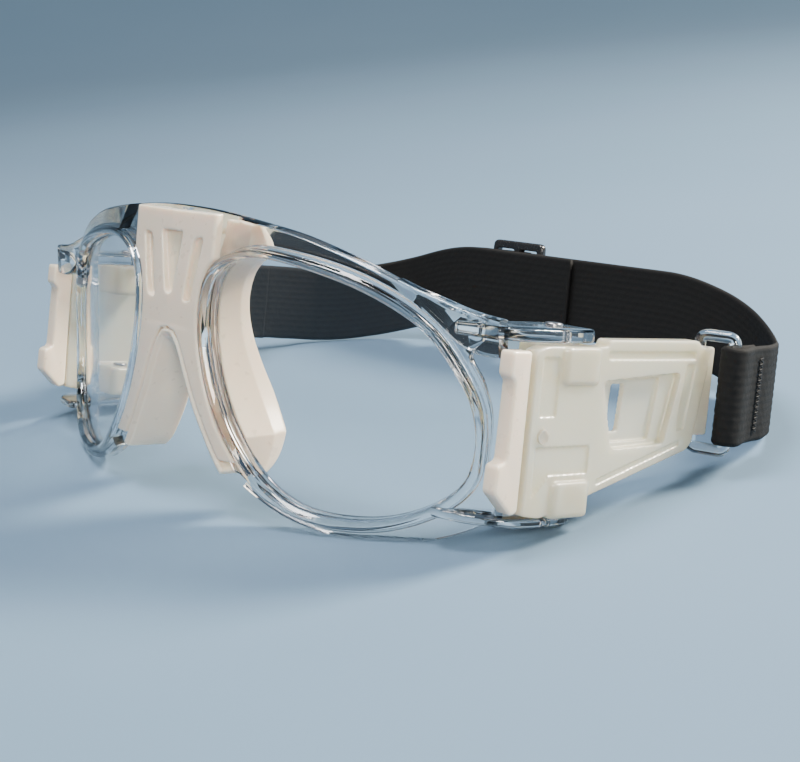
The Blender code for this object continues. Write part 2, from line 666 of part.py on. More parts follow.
def main():
    clear_mat = material("clear_polycarbonate", (0.93, 0.94, 0.95), 0.06, 0.95, 1.58)
    lens_mat = material("lens_polycarbonate", (0.97, 0.98, 0.99), 0.02, 1.0, 1.58)
    milky_mat = material("milky_silicone", (0.86, 0.84, 0.78), 0.45, 0.25, 1.41)
    frosted_mat = material("frosted_polymer", (0.88, 0.86, 0.80), 0.3, 0.5, 1.5)
    metal_mat = material("pin_steel", (0.6, 0.6, 0.62), 0.3, metallic=1.0)
    webbing_mat = material("black_webbing", (0.012, 0.012, 0.013), 0.85)
    plastic_mat = material("black_plastic", (0.015, 0.015, 0.016), 0.25)
    thread_mat = material("black_thread", (0.03, 0.03, 0.03), 0.7)

    build_front(clear_mat)
    build_bridge_pad(milky_mat)
    upper_pin = (UPPER_KNUCKLE[0] + 0.4 * MM, UPPER_LUG[1] + 0.1 * MM)
    lower_pin = (LOWER_LUG[0] + 0.4 * MM, LOWER_KNUCKLE[1] + 0.1 * MM)
    sides = [build_lens(lens_mat), build_arm(frosted_mat), build_temple_pad(milky_mat),
             build_pad_stud(milky_mat), build_pin("pin_upper_left", *upper_pin, metal_mat),
             build_pin("pin_lower_left", *lower_pin, metal_mat), build_ring(clear_mat),
             build_tack("bar_tack_left", 8.8, thread_mat)]
    bpy.context.view_layer.update()
    for obj in sides:
        mirrored(obj, obj.name.replace("left", "right"))
    build_straps(webbing_mat)
    build_slider(plastic_mat)
    build_tail_tack(thread_mat)
    parts = [obj for obj in BUILD.objects if obj.type == "MESH"]
    holder = bpy.data.objects.new("goggles_rest", None)
    BUILD.objects.link(holder)
    holder.matrix_world = rest_matrix(parts)
    for obj in parts + list(CUTTERS.objects):
        obj.parent = holder


clear_scene()
BUILD = bpy.data.collections.new("sports_goggles")
CUTTERS = bpy.data.collections.new("cutters")
for group in (BUILD, CUTTERS):
    bpy.context.scene.collection.children.link(group)
CUTTERS.hide_render = True
OPENING_LOOP = smooth(OPENING, 6)
OUTLINE_LOOP = smooth(OUTLINE, 4, sharp=SHARP_OUTLINE)
main()
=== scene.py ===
"""Looks of the sports goggles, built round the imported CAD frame.

Units are metres, +Z up. Shapes are drawn the way the CAD draws them, in the goggles' own upright frame
(the front on a wrapped cylinder, the sides in a frame leaned back with the hinges), and then stood in the
row frame, where the goggles rest on their rims and strap.
"""
import json
import math

import bmesh
import bpy
from mathutils import Matrix, Vector

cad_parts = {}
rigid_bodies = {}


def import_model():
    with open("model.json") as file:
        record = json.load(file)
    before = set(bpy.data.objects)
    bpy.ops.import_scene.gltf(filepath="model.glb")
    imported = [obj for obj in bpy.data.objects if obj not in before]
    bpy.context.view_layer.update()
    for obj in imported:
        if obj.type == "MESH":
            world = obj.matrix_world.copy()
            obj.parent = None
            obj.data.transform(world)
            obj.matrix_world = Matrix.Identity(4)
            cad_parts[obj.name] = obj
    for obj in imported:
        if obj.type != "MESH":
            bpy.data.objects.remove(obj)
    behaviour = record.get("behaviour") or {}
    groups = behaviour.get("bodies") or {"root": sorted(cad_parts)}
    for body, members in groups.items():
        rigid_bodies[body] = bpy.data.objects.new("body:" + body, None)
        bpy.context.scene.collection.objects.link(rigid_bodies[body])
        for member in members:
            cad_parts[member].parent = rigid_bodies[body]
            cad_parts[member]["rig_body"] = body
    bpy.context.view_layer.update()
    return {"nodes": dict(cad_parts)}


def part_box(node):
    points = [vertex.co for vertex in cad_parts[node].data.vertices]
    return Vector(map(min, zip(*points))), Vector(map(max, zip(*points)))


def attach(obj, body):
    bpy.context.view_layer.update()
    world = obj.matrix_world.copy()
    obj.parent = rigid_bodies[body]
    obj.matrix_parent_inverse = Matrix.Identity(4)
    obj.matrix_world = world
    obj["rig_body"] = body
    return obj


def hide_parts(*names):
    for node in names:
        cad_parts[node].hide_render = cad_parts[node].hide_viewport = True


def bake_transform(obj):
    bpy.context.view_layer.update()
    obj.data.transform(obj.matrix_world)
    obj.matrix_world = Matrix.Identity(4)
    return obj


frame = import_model()

MM = 0.001
GAP = 0.3 * MM

# front, as in the CAD; outlines are (along the wrap, up) pairs in millimetres
FACE_R = 112 * MM
FACE_LEAN = 0.05
FACE_SAG_R = 350 * MM
FACE_MID_Z = 27 * MM
OPENING_MID = Vector((40 * MM, 28 * MM))
OPENING = [(11.5, 38), (13.5, 46), (21.5, 49.7), (33.5, 48.7), (47, 45.1), (58, 39.3), (65, 31), (67.6, 25),
           (68, 19.5), (66.3, 14), (61.8, 10), (55.2, 7), (47.5, 5.4), (38, 5.3), (31, 7), (24.5, 11),
           (17.8, 18.7), (13.3, 28.2)]
OUTLINE = [(-5, 57.7), (5, 57.6), (12, 57.2), (20, 56.3), (31.5, 54.5), (41, 51.9), (48.5, 49.3), (55, 46.6),
           (62.5, 43.4), (67, 42.6), (69.5, 42.2), (69.5, 38.5), (66.6, 35.4), (68.8, 31.3), (70.4, 27),
           (70.8, 23), (70.4, 17.5), (70.4, 13.2), (72.2, 10.5), (70.5, 7.2), (66, 4.7), (59, 2.6), (51, 1.7),
           (42, 1.8), (32, 3.5), (24.5, 6.5), (19, 9.6), (17.5, 9.9), (14.8, 13.6), (12, 18), (9.2, 22.8),
           (6.7, 28), (4.7, 32), (2.8, 34.5), (1.2, 35.4), (-5, 35.4)]
SHARP_OUTLINE = {0, 10, 11, 17, 18, 26, 27, 35}
RIM_COLUMNS = 220
BEAD_W = 2.2 * MM
BEAD_MARGIN = 1.1 * MM       # the bead narrows where less than this is left beside it
WEB_FRONT = 0.9 * MM
BRIDGE_WEB_FRONT = 2.7 * MM
WEB_REAR = 4.2 * MM
BRIDGE_HALF_W = 13 * MM
BRIDGE_REACH_HIGH, BRIDGE_REACH_LOW = 4 * MM, 8 * MM
GROOVE = (1.7 * MM, 3.6 * MM, 0.9 * MM)
LENS_FRONT, LENS_REAR, LENS_LIP = 2.0 * MM, 3.3 * MM, 0.45 * MM
REST_TILT = math.radians(-7.1)
FOOT_LEVEL = 0.78 * MM
COVER_FRONT, COVER_REAR = 0.5 * MM, 2.35 * MM
POCKET_DEPTH = 1.4 * MM      # deeper than in the CAD, because the fillets soften it

# sides, as in the CAD
LEAN = math.radians(7)
HINGE = (67 * MM, 30.5 * MM)
PIN_R = 0.9 * MM
PIN_CLEAR = 0.08 * MM
PIN_INSET, PIN_PROUD = 0.4 * MM, 0.1 * MM
UPPER_LUG = (41.6 * MM, 43.9 * MM)
LOWER_LUG = (9.8 * MM, 11.4 * MM)
UPPER_KNUCKLE = (34.6 * MM, 41.2 * MM)
LOWER_KNUCKLE = (11.8 * MM, 18.2 * MM)
ARM_X = (71.0 * MM, 74.4 * MM)
RING_PIVOT = (71.6 * MM, 65.0 * MM)
RING_REACH = (6.8 * MM, 1.7 * MM)
RING_Z = (21.5 * MM, 44.5 * MM)
RING_STOCK_R = 1.1 * MM

# strap, as in the CAD
WEB_T = 1.2 * MM
WEB_W = 18 * MM
STRAP_Z = 23.85 * MM
CORNER = (72.6 * MM, 87 * MM)
BACK_MID_Y = 106 * MM
BACK_RISE = 10 * MM
BACK_LEVEL_X = 28 * MM
BACK_RISE_EASE = 1.67        # above 1, the rise starts gently at the corner
BACK_STRAIGHT_X = 46 * MM
BACK_CURVE_EASE = 1.8        # above 1, the back turns mostly near the corner
OVERLAP = (-31 * MM, 2 * MM)
LAYER = WEB_T + GAP
SLIDER_X = -20 * MM
SLIDER_T = 0.9 * MM
SLIDER_UP = (-1.9, 20.7)     # lower and upper edge of the slider, in millimetres above its slots' floor
SLIDER_SINK = 0.4 * MM       # the slots' floor below the edge of the webbing
WEAVE_DIP = 1.9 * MM
SLIDER_Y = BACK_MID_Y + WEB_T + GAP + WEAVE_DIP
WEAVE_STEP = 0.4 * MM        # spacing of the mesh along the webbing
PICK = 3                     # mesh steps to one crossing of the weave
CORDS = 13                   # warp cords across the webbing

# grain of the moulded skins
SOFT_VOXEL = 0.19 * MM
HARD_VOXEL = 0.2 * MM
SLIDER_VOXEL = 0.14 * MM


# ---------------------------------------------------------------- drawing helpers
def face_point(s, z, depth):
    """Point of the wrapped front: s along the wrap, z up, depth behind the face."""
    angle = s / FACE_R
    r = FACE_R - depth
    up = z - FACE_MID_Z
    y = FACE_R - r * math.cos(angle) + FACE_LEAN * up + up * up / (2 * FACE_SAG_R)
    return Vector((r * math.sin(angle), y, z))


def lean(x, y, z):
    """Point of a side, leaned back about the X axis with the hinge axes."""
    return Vector((x, y * math.cos(LEAN) + z * math.sin(LEAN), -y * math.sin(LEAN) + z * math.cos(LEAN)))


def smooth(points, steps, closed=True, sharp=()):
    """Catmull-Rom curve through points given in millimetres; sharp points keep straight sides."""
    n = len(points)
    out = []
    for i in range(n if closed else n - 1):
        near = [(i + k) % n if closed else min(max(i + k, 0), n - 1) for k in (-1, 0, 1, 2)]
        p = [Vector(points[k]) * MM for k in near]
        m1 = (p[2] - p[0]) / 2 if i not in sharp else (p[2] - p[1])
        m2 = (p[3] - p[1]) / 2 if (i + 1) % n not in sharp else (p[2] - p[1])
        for j in range(steps):
            t = j / steps
            out.append((2 * t ** 3 - 3 * t ** 2 + 1) * p[1] + (t ** 3 - 2 * t ** 2 + t) * m1
                       + (3 * t ** 2 - 2 * t ** 3) * p[2] + (t ** 3 - t ** 2) * m2)
    if not closed:
        out.append(Vector(points[-1]) * MM)
    return out


def polar(loop, centre, angle):
    """Where the ray from centre at angle leaves the loop."""
    d = Vector((math.cos(angle), math.sin(angle)))
    best = 0.0
    for a, b in zip(loop, loop[1:] + loop[:1]):
        e, w = b - a, a - centre
        det = d.x * -e.y + d.y * e.x
        if abs(det) < 1e-12:
            continue
        t = (w.x * -e.y + w.y * e.x) / det
        u = (d.x * w.y - d.y * w.x) / det
        if -1e-9 <= u <= 1 + 1e-9 and t > best:
            best = t
    return centre + d * best


def lookup(curve, value):
    """Second coordinate of a smooth (key, value) curve at a key; the curve rises in its key."""
    if value <= curve[0].x:
        return curve[0].y
    for a, b in zip(curve, curve[1:]):
        if value <= b.x:
            return a.y + (b.y - a.y) * (value - a.x) / max(b.x - a.x, 1e-9)
    return curve[-1].y


def corner_curve(start, corner, end, t):
    """Point at t, from 0 to 1, on the curve that rounds a corner."""
    return (1 - t) ** 2 * start + 2 * t * (1 - t) * corner + t ** 2 * end


def heading(path, i):
    """Unit direction of a path at its point i."""
    return (path[min(i + 1, len(path) - 1)] - path[max(i - 1, 0)]).normalized()


def rounded(points, radius, steps=6):
    """Polygon (millimetres) with its corners rounded; returns metres."""
    out = []
    pts = [Vector(p) * MM for p in points]
    for a, b, c in zip(pts[-1:] + pts[:-1], pts, pts[1:] + pts[:1]):
        u, v = (a - b), (c - b)
        cut = min(radius, u.length * 0.45, v.length * 0.45)
        start, end = b + u.normalized() * cut, b + v.normalized() * cut
        out += [corner_curve(start, b, end, i / steps) for i in range(steps + 1)]
    return out


def circle(centre, radius, steps=48):
    turns = [2 * math.pi * i / steps for i in range(steps)]
    return [Vector((centre[0] + radius * math.cos(a), centre[1] + radius * math.sin(a))) for a in turns]


def inset(outline, amount):
    """Outline moved inwards by amount."""
    n = len(outline)
    area = sum(a.cross(b) for a, b in zip(outline, outline[1:] + outline[:1]))
    turn = 1 if area > 0 else -1
    out = []
    for i in range(n):
        along = (outline[(i + 1) % n] - outline[i - 1]).normalized()
        out.append(outline[i] + Vector((-along.y, along.x)) * amount * turn)
    return out


def object_from(name, verts, faces):
    """New object in the scene, with its faces turned outwards."""
    mesh = bpy.data.meshes.new(name)
    mesh.from_pydata([tuple(v) for v in verts], [], faces)
    bm = bmesh.new()
    bm.from_mesh(mesh)
    bmesh.ops.recalc_face_normals(bm, faces=bm.faces)
    bm.to_mesh(mesh)
    bm.free()
    obj = bpy.data.objects.new(name, mesh)
    bpy.context.scene.collection.objects.link(obj)
    return obj


def ring_faces(a, b, n):
    """Quads between two rings of n vertices, the first starting at vertex a and the second at b."""
    return [(a + j, a + (j + 1) % n, b + (j + 1) % n, b + j) for j in range(n)]


def loft(name, sections, closed=False):
    """Skin through equal-length sections; the ends are capped unless the loft closes on itself."""
    n, m = len(sections[0]), len(sections)
    verts = [v for section in sections for v in section]
    faces = []
    for i in range(m if closed else m - 1):
        faces += ring_faces(i * n, (i + 1) % m * n, n)
    if not closed:
        faces += [tuple(range(n)), tuple(range((m - 1) * n, m * n))]
    return object_from(name, verts, faces)


def prism(name, outline, low, high, place, edge=0.0, steps=3):
    """Outline pushed from low to high, with its two end edges rounded; place(a, b, c) gives the point."""
    levels = [(0.0, low), (0.0, high)]
    if edge:
        turns = [math.pi / 2 * k / steps for k in range(steps + 1)]
        foot = [(edge * (1 - math.sin(t)), low + edge * (1 - math.cos(t))) for t in turns]
        head = [(edge * (1 - math.sin(t)), high - edge * (1 - math.cos(t))) for t in reversed(turns)]
        levels = foot + head
    return loft(name, [[place(p.x, p.y, level) for p in inset(outline, cut)] for cut, level in levels])


def side_place(a, b, c):
    """Outline of (along, up) pairs pushed sideways in the leaned frame."""
    return lean(c, a, b)


# ---------------------------------------------------------------- mesh tools
CUTTERS = []


def combine(obj, other, operation):
    """Cuts obj with the other solid or joins them; settle() applies it and removes the other."""
    mod = obj.modifiers.new(operation.title(), "BOOLEAN")
    mod.operation = operation
    mod.solver = "EXACT"
    mod.object = other
    CUTTERS.append(other)
    return obj


def both_sides(obj, cut=False):
    """Repeats the solid on the other side; cut joins the two halves at X = 0."""
    mod = obj.modifiers.new("Both sides", "MIRROR")
    mod.use_axis[0] = True
    mod.use_bisect_axis[0] = cut
    mod.use_mirror_merge = cut
    mod.merge_threshold = 0.00002
    return obj


def mould(obj, voxel, passes):
    """Turns a cut and joined solid into one skin with small even fillets, as a mould leaves."""
    mod = obj.modifiers.new("Skin", "REMESH")
    mod.mode = "VOXEL"
    mod.voxel_size = voxel
    mod.use_smooth_shade = True
    mod = obj.modifiers.new("Fillet", "SMOOTH")
    mod.factor = 0.5
    mod.iterations = passes
    return obj


def settle(obj):
    """Applies the modifiers and removes the solids that cut or joined it."""
    bpy.context.view_layer.update()
    depsgraph = bpy.context.evaluated_depsgraph_get()
    mesh = bpy.data.meshes.new_from_object(obj.evaluated_get(depsgraph), depsgraph=depsgraph)
    obj.modifiers.clear()
    obj.data = mesh
    for cutter in CUTTERS:
        bpy.data.objects.remove(cutter)
    CUTTERS.clear()
    return obj


def mirrored(obj, name):
    """Copy of the piece on the other side of X = 0."""
    mesh = obj.data.copy()
    mesh.transform(Matrix.Diagonal((-1, 1, 1, 1)))
    mesh.flip_normals()
    copy = bpy.data.objects.new(name, mesh)
    bpy.context.scene.collection.objects.link(copy)
    return copy


def dress(obj, mat, sharp=40):
    """Stands the finished piece in the row frame and gives it its material."""
    obj.data.transform(ROW)
    obj.data.materials.clear()
    obj.data.materials.append(mat)
    obj.data.shade_smooth()
    if sharp:
        obj.data.set_sharp_from_angle(angle=math.radians(sharp))
    return obj


def stand_in(obj, body, node, mat, sharp=40):
    """Finished piece that replaces one CAD node and rides on its body."""
    dress(obj, mat, sharp)
    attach(obj, body)
    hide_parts(node)
    return obj


def pair(left, node_name, mat, sharp=40):
    """Stands for node_left with the piece and for node_right with its mirror image."""
    right = mirrored(left, left.name.replace("left", "right"))
    for obj, side in ((left, "left"), (right, "right")):
        cad_node = f"{node_name}_{side}"
        body = frame["nodes"][cad_node]["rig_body"]
        stand_in(obj, body, cad_node, mat, sharp)


def row_matrix():
    """From the upright frame to the row frame: the lean at rest, then the shift read from the frame."""
    turn = Matrix.Rotation(REST_TILT, 4, "X")
    low = back_lift(SLIDER_X) - SLIDER_SINK
    rear = max((turn @ lean(SLIDER_X, SLIDER_Y + SLIDER_T, low + v * MM)).y for v in SLIDER_UP)
    return Matrix.Translation((0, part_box("slider")[1].y - rear, -FOOT_LEVEL)) @ turn


# ---------------------------------------------------------------- materials
def principled(name, **inputs):
    mat = bpy.data.materials.new(name)
    mat.use_nodes = True
    shader = mat.node_tree.nodes["Principled BSDF"]
    for key, value in inputs.items():
        shader.inputs[key.replace("_", " ")].default_value = value
    return mat, shader


def node(mat, kind, **settings):
    made = mat.node_tree.nodes.new(kind)
    for key, value in settings.items():
        if key in made.inputs:
            made.inputs[key].default_value = value
        else:
            setattr(made, key, value)
    return made


def link(mat, source, target):
    mat.node_tree.links.new(source, target)


def object_noise(mat, scale, detail=2.0, stretch=(1, 1, 1)):
    """Noise in the piece's own space; scale is in features per metre."""
    place = node(mat, "ShaderNodeTexCoord")
    mapping = node(mat, "ShaderNodeMapping")
    mapping.inputs["Scale"].default_value = stretch
    noise = node(mat, "ShaderNodeTexNoise", Scale=scale, Detail=detail)
    link(mat, place.outputs["Object"], mapping.inputs["Vector"])
    link(mat, mapping.outputs["Vector"], noise.inputs["Vector"])
    return noise.outputs["Fac"]


def spread(mat, source, low, high, target):
    """Drives a value input from a noise, which seldom leaves 0.3 to 0.7."""
    ramp = node(mat, "ShaderNodeMapRange")
    ramp.inputs["From Min"].default_value = 0.3
    ramp.inputs["From Max"].default_value = 0.7
    ramp.inputs["To Min"].default_value = low
    ramp.inputs["To Max"].default_value = high
    link(mat, source, ramp.inputs["Value"])
    link(mat, ramp.outputs["Result"], target)


def tint(mat, source, dark, light, target):
    """Drives a colour input between two colours."""
    mix = node(mat, "ShaderNodeMix", data_type="RGBA")
    mix.inputs["A"].default_value = (*dark, 1)
    mix.inputs["B"].default_value = (*light, 1)
    link(mat, source, mix.inputs["Factor"])
    link(mat, mix.outputs["Result"], target)


def bump(mat, source, shader, distance, strength=1.0):
    made = node(mat, "ShaderNodeBump", Strength=strength, Distance=distance)
    link(mat, source, made.inputs["Height"])
    link(mat, made.outputs["Normal"], shader.inputs["Normal"])


def clear_material(name, haze, tone):
    """Clear polycarbonate with faint handling haze and moulding flow."""
    mat, shader = principled(name, Transmission_Weight=1.0, IOR=1.585)
    spread(mat, object_noise(mat, 260, 4), haze * 0.4, haze, shader.inputs["Roughness"])
    tint(mat, object_noise(mat, 45), tone, tuple(c * 0.985 for c in tone), shader.inputs["Base Color"])
    bump(mat, object_noise(mat, 150, 1), shader, 0.02 * MM, 0.3)
    return mat


def silicone_material():
    """Milky silicone: light scatters inside it, and the skin is satin."""
    mat, shader = principled("milky_silicone_look", Subsurface_Weight=1.0, Subsurface_Scale=0.0012, IOR=1.41,
                             Transmission_Weight=0.08, Coat_Weight=0.8, Coat_Roughness=0.08)
    shader.inputs["Subsurface Radius"].default_value = (1.0, 0.85, 0.75)
    clouds = object_noise(mat, 60, 2)
    tint(mat, clouds, (0.85, 0.715, 0.555), (0.88, 0.755, 0.61), shader.inputs["Base Color"])
    spread(mat, object_noise(mat, 500, 4), 0.26, 0.36, shader.inputs["Roughness"])
    return mat


def frosted_material():
    """Frosted translucent polymer of the arms."""
    mat, shader = principled("frosted_arm_look", Subsurface_Weight=0.9, Subsurface_Scale=0.004, IOR=1.49,
                             Transmission_Weight=0.6, Coat_Weight=0.6, Coat_Roughness=0.08)
    shader.inputs["Subsurface Radius"].default_value = (1.0, 0.86, 0.7)
    tint(mat, object_noise(mat, 40, 2), (0.97, 0.84, 0.63), (0.98, 0.875, 0.69), shader.inputs["Base Color"])
    spread(mat, object_noise(mat, 90, 2), 0.30, 0.36, shader.inputs["Roughness"])
    return mat


def steel_material():
    """Turned steel with fine marks round the pin."""
    mat, shader = principled("pin_steel_look", Metallic=1.0)
    marks = object_noise(mat, 900, 2, (0.15, 0.15, 6))
    tint(mat, marks, (0.30, 0.30, 0.31), (0.52, 0.52, 0.54), shader.inputs["Base Color"])
    spread(mat, marks, 0.22, 0.38, shader.inputs["Roughness"])
    return mat


def webbing_material():
    """Black elastic webbing: each thread of the weave catches a little light."""
    mat, shader = principled("webbing_look", Specular_IOR_Level=0.22)
    uv = node(mat, "ShaderNodeUVMap", uv_map="weave")
    ribs = node(mat, "ShaderNodeTexWave", wave_type="BANDS", bands_direction="X", Scale=2.0, Distortion=0.6)
    ribs.inputs["Detail"].default_value = 1.0
    link(mat, uv.outputs["UV"], ribs.inputs["Vector"])
    fuzz = object_noise(mat, 5000, 3)
    tint(mat, fuzz, (0.002, 0.002, 0.0022), (0.007, 0.0067, 0.0064), shader.inputs["Base Color"])
    spread(mat, fuzz, 0.65, 0.9, shader.inputs["Roughness"])
    bump(mat, ribs.outputs["Fac"], shader, 0.05 * MM, 0.8)
    return mat


def thread_material():
    mat, shader = principled("thread_look", Specular_IOR_Level=0.25)
    twist = object_noise(mat, 4000, 2, (1, 1, 3))
    tint(mat, twist, (0.003, 0.003, 0.0035), (0.009, 0.009, 0.0095), shader.inputs["Base Color"])
    spread(mat, twist, 0.4, 0.6, shader.inputs["Roughness"])
    return mat


def slider_material():
    """Black moulded plastic, with gloss and tone that vary in small patches."""
    mat, shader = principled("slider_look", IOR=1.5, Coat_Weight=0.2)
    worn = object_noise(mat, 300, 3)
    tint(mat, worn, (0.010, 0.010, 0.011), (0.022, 0.022, 0.022), shader.inputs["Base Color"])
    spread(mat, object_noise(mat, 900, 4), 0.16, 0.34, shader.inputs["Roughness"])
    bump(mat, object_noise(mat, 2500, 2), shader, 0.008 * MM, 0.5)
    return mat


def floor_material():
    mat, shader = principled("floor_look")
    patches = object_noise(mat, 6, 2)
    tint(mat, patches, (0.095, 0.165, 0.245), (0.115, 0.19, 0.275), shader.inputs["Base Color"])
    shader.inputs["Roughness"].default_value = 0.9
    return mat


# ---------------------------------------------------------------- front
def nasal_edge(z, width=0.0):
    """Where the opening's nose side, widened radially by width, stands at height z."""
    loop = [p + (p - OPENING_MID).normalized() * width for p in OPENING_LOOP]
    found = []
    for a, b in zip(loop, loop[1:] + loop[:1]):
        if (a.y - z) * (b.y - z) <= 0 and a.y != b.y:
            found.append(a.x + (b.x - a.x) * (z - a.y) / (b.y - a.y))
    return min(found, default=OPENING_MID.x)


def rim_section(angle):
    """Closed section of the rim and web at one angle round the opening, with every edge rounded."""
    inner = polar(OPENING_LOOP, OPENING_MID, angle)
    outer = polar(OUTLINE_LOOP, OPENING_MID, angle)
    span = (outer - inner).length
    out = (outer - inner) / span
    squeeze = min(1.0, span / (BEAD_W + BEAD_MARGIN))
    in_bridge = outer.x < BRIDGE_HALF_W + (BRIDGE_REACH_HIGH if outer.y > OPENING_MID.y else BRIDGE_REACH_LOW)
    web = (BRIDGE_WEB_FRONT if in_bridge else WEB_FRONT) / MM
    front, rear, groove = (value / MM for value in GROOVE)
    wide, rim, back, bead_back = span / MM, BEAD_W / MM * squeeze, WEB_REAR / MM, 4.7
    # outwards from the opening, depth behind the face and corner radius, in millimetres
    corners = [(0, 1.0, 0.2), (0.75, 0, 0.5), (1.65 * squeeze, 0, 0.35), (rim, web, 0.3),
               (wide, web, 0.55), (wide, back, 0.55), (rim, back, 0.15), (1.6 * squeeze, bead_back, 0.3),
               (0, bead_back, 0.3), (0, rear, 0.08), (groove * squeeze, rear, 0.08),
               (groove * squeeze, front, 0.08), (0, front, 0.08)]
    points = []
    for a, b, c in zip(corners[-1:] + corners[:-1], corners, corners[1:] + corners[:1]):
        before, at, after = Vector(a[:2]) * MM, Vector(b[:2]) * MM, Vector(c[:2]) * MM
        u, v = before - at, after - at
        start = at + u.normalized() * min(b[2] * MM, u.length * 0.45)
        end = at + v.normalized() * min(b[2] * MM, v.length * 0.45)
        for t in (0.0, 0.34, 0.67, 1.0):
            q = corner_curve(start, at, end, t)
            p = inner + out * q.x
            points.append(face_point(p.x, p.y, q.y))
    return points


def rim_angles():
    """Even steps round the opening, with one exactly at each sharp corner of the outline."""
    step = 2 * math.pi / RIM_COLUMNS
    angles = [step * i for i in range(RIM_COLUMNS)]
    for i in sorted(SHARP_OUTLINE):
        corner = Vector(OUTLINE[i]) * MM - OPENING_MID
        angle = math.atan2(corner.y, corner.x) % (2 * math.pi)
        angles += [angle - 0.002, angle + 0.002]
    return sorted(angles)


def lug(name, outline, span):
    return prism(name, rounded(outline, 2.4 * MM, 10), span[0], span[1], lean, 0.55 * MM, 5)


# Where the brow runs on to the upper ear: x, front y, lower edge and upper edge, in millimetres.
BROW_RETURN = [(50, 14.8, 46.2, 48.0), (54, 16.2, 43.4, 46.4), (58, 17.3, 40.4, 45.2), (62, 18.2, 37.6, 44.0),
               (66, 18.9, 36.4, 43.2), (70.0, 19.5, 36.4, 42.8)]


def brow_return():
    """Upright wall, level with the brow, that turns the front into its upper ear."""
    thick, edge, steps = 2.6 * MM, 0.7 * MM, 4
    front = smooth([(x, y) for x, y, _, _ in BROW_RETURN], 6, closed=False)
    low = smooth([(x, bottom) for x, _, bottom, _ in BROW_RETURN], 6, closed=False)
    high = smooth([(x, top) for x, _, _, top in BROW_RETURN], 6, closed=False)
    sections = []
    for i, (at, bottom, top) in enumerate(zip(front, low, high)):
        along = heading(front, i)
        back = Vector((-along.y, along.x))
        box = [Vector(p) / MM for p in ((0, bottom.y), (thick, bottom.y), (thick, top.y), (0, top.y))]
        section = []
        for p in rounded(box, edge, steps):
            spot = at + back * p.x
            section.append(Vector((spot.x, spot.y, p.y)))
        sections.append(section)
    return loft("brow_return", sections)


def foot_cutter():
    """Slab that grinds the flats under the rims, square to the resting direction."""
    def place(x, y, z):
        tilted = Matrix.Rotation(-REST_TILT, 3, "X") @ Vector((0, y, z))
        return Vector((x, tilted.y, tilted.z))
    outline = [Vector(p) * MM for p in ((-70, -10), (70, -10), (70, 45), (-70, 45))]
    return prism("foot_cutter", outline, FOOT_LEVEL - 6 * MM, FOOT_LEVEL, place)


def build_front(mat):
    front = both_sides(loft("front_shell", [rim_section(a) for a in rim_angles()], closed=True), cut=True)
    upper = lug("upper_lug", [(60, 13.2), (66, 13.9), (72.0, 17), (73.6, 24), (73.4, 34.5), (70.5, 36.6),
                              (63.5, 36.6), (60.6, 33.6), (60, 24), (58, 17)], UPPER_LUG)
    lower = lug("lower_lug", [(58, 13), (66, 15), (71.5, 20), (72.4, 27), (72, 34), (68.5, 36), (63.5, 35),
                              (61.5, 31), (60.5, 23), (57, 18)], LOWER_LUG)
    for ear in (upper, lower, brow_return()):
        combine(front, both_sides(ear), "UNION")
    for name, span in (("upper_bore", (39 * MM, 46 * MM)), ("lower_bore", (6 * MM, 13 * MM))):
        combine(front, both_sides(prism(name, circle(HINGE, PIN_R + PIN_CLEAR), *span, lean)), "DIFFERENCE")
    combine(front, foot_cutter(), "DIFFERENCE")
    return stand_in(settle(front), "front", "frame_front", mat, 30)


def build_lens(mat):
    """Clear lens with a rounded edge that sits in the rim's groove."""
    columns = 144
    rings = [0.12, 0.3, 0.5, 0.68, 0.82, 0.92, 0.97, 0.992]
    edge = [(0.9985, 0.12), (1.0, 0.3), (1.0, 0.7), (0.9985, 0.88)]
    profile = [(ring, 0.0) for ring in rings] + edge + [(ring, 1.0) for ring in reversed(rings)]
    sections = []
    for i in range(columns):
        opening = polar(OPENING_LOOP, OPENING_MID, 2 * math.pi * i / columns) - OPENING_MID
        reach = opening * (1 + LENS_LIP / opening.length)
        section = []
        for ring, through in profile:
            p = OPENING_MID + reach * ring
            section.append(face_point(p.x, p.y, LENS_FRONT + (LENS_REAR - LENS_FRONT) * through))
        sections.append(section)
    n = len(profile)
    verts = [v for section in sections for v in section]
    verts += [face_point(*OPENING_MID, LENS_FRONT), face_point(*OPENING_MID, LENS_REAR)]
    faces = []
    for i in range(columns):
        a, b = i * n, (i + 1) % columns * n
        faces += [(a + j, b + j, b + j + 1, a + j + 1) for j in range(n - 1)]
        faces += [(a, columns * n, b), (a + n - 1, b + n - 1, columns * n + 1)]
    left = object_from("lens_clear_left", verts, faces)
    right = mirrored(left, "lens_clear_right")
    stand_in(left, "front", "lens_left", mat)
    stand_in(right, "front", "lens_right", mat)


# ---------------------------------------------------------------- bridge pad
# Nose arch as (up, along the wrap) pairs in millimetres; the last one lies past the middle.
ARCH = [(11.2, 16.4), (13.6, 14.6), (18, 11.8), (22.8, 9.0), (28, 6.5), (32, 4.5), (34.5, 2.6), (35.3, 0.6),
        (35.4, -3)]


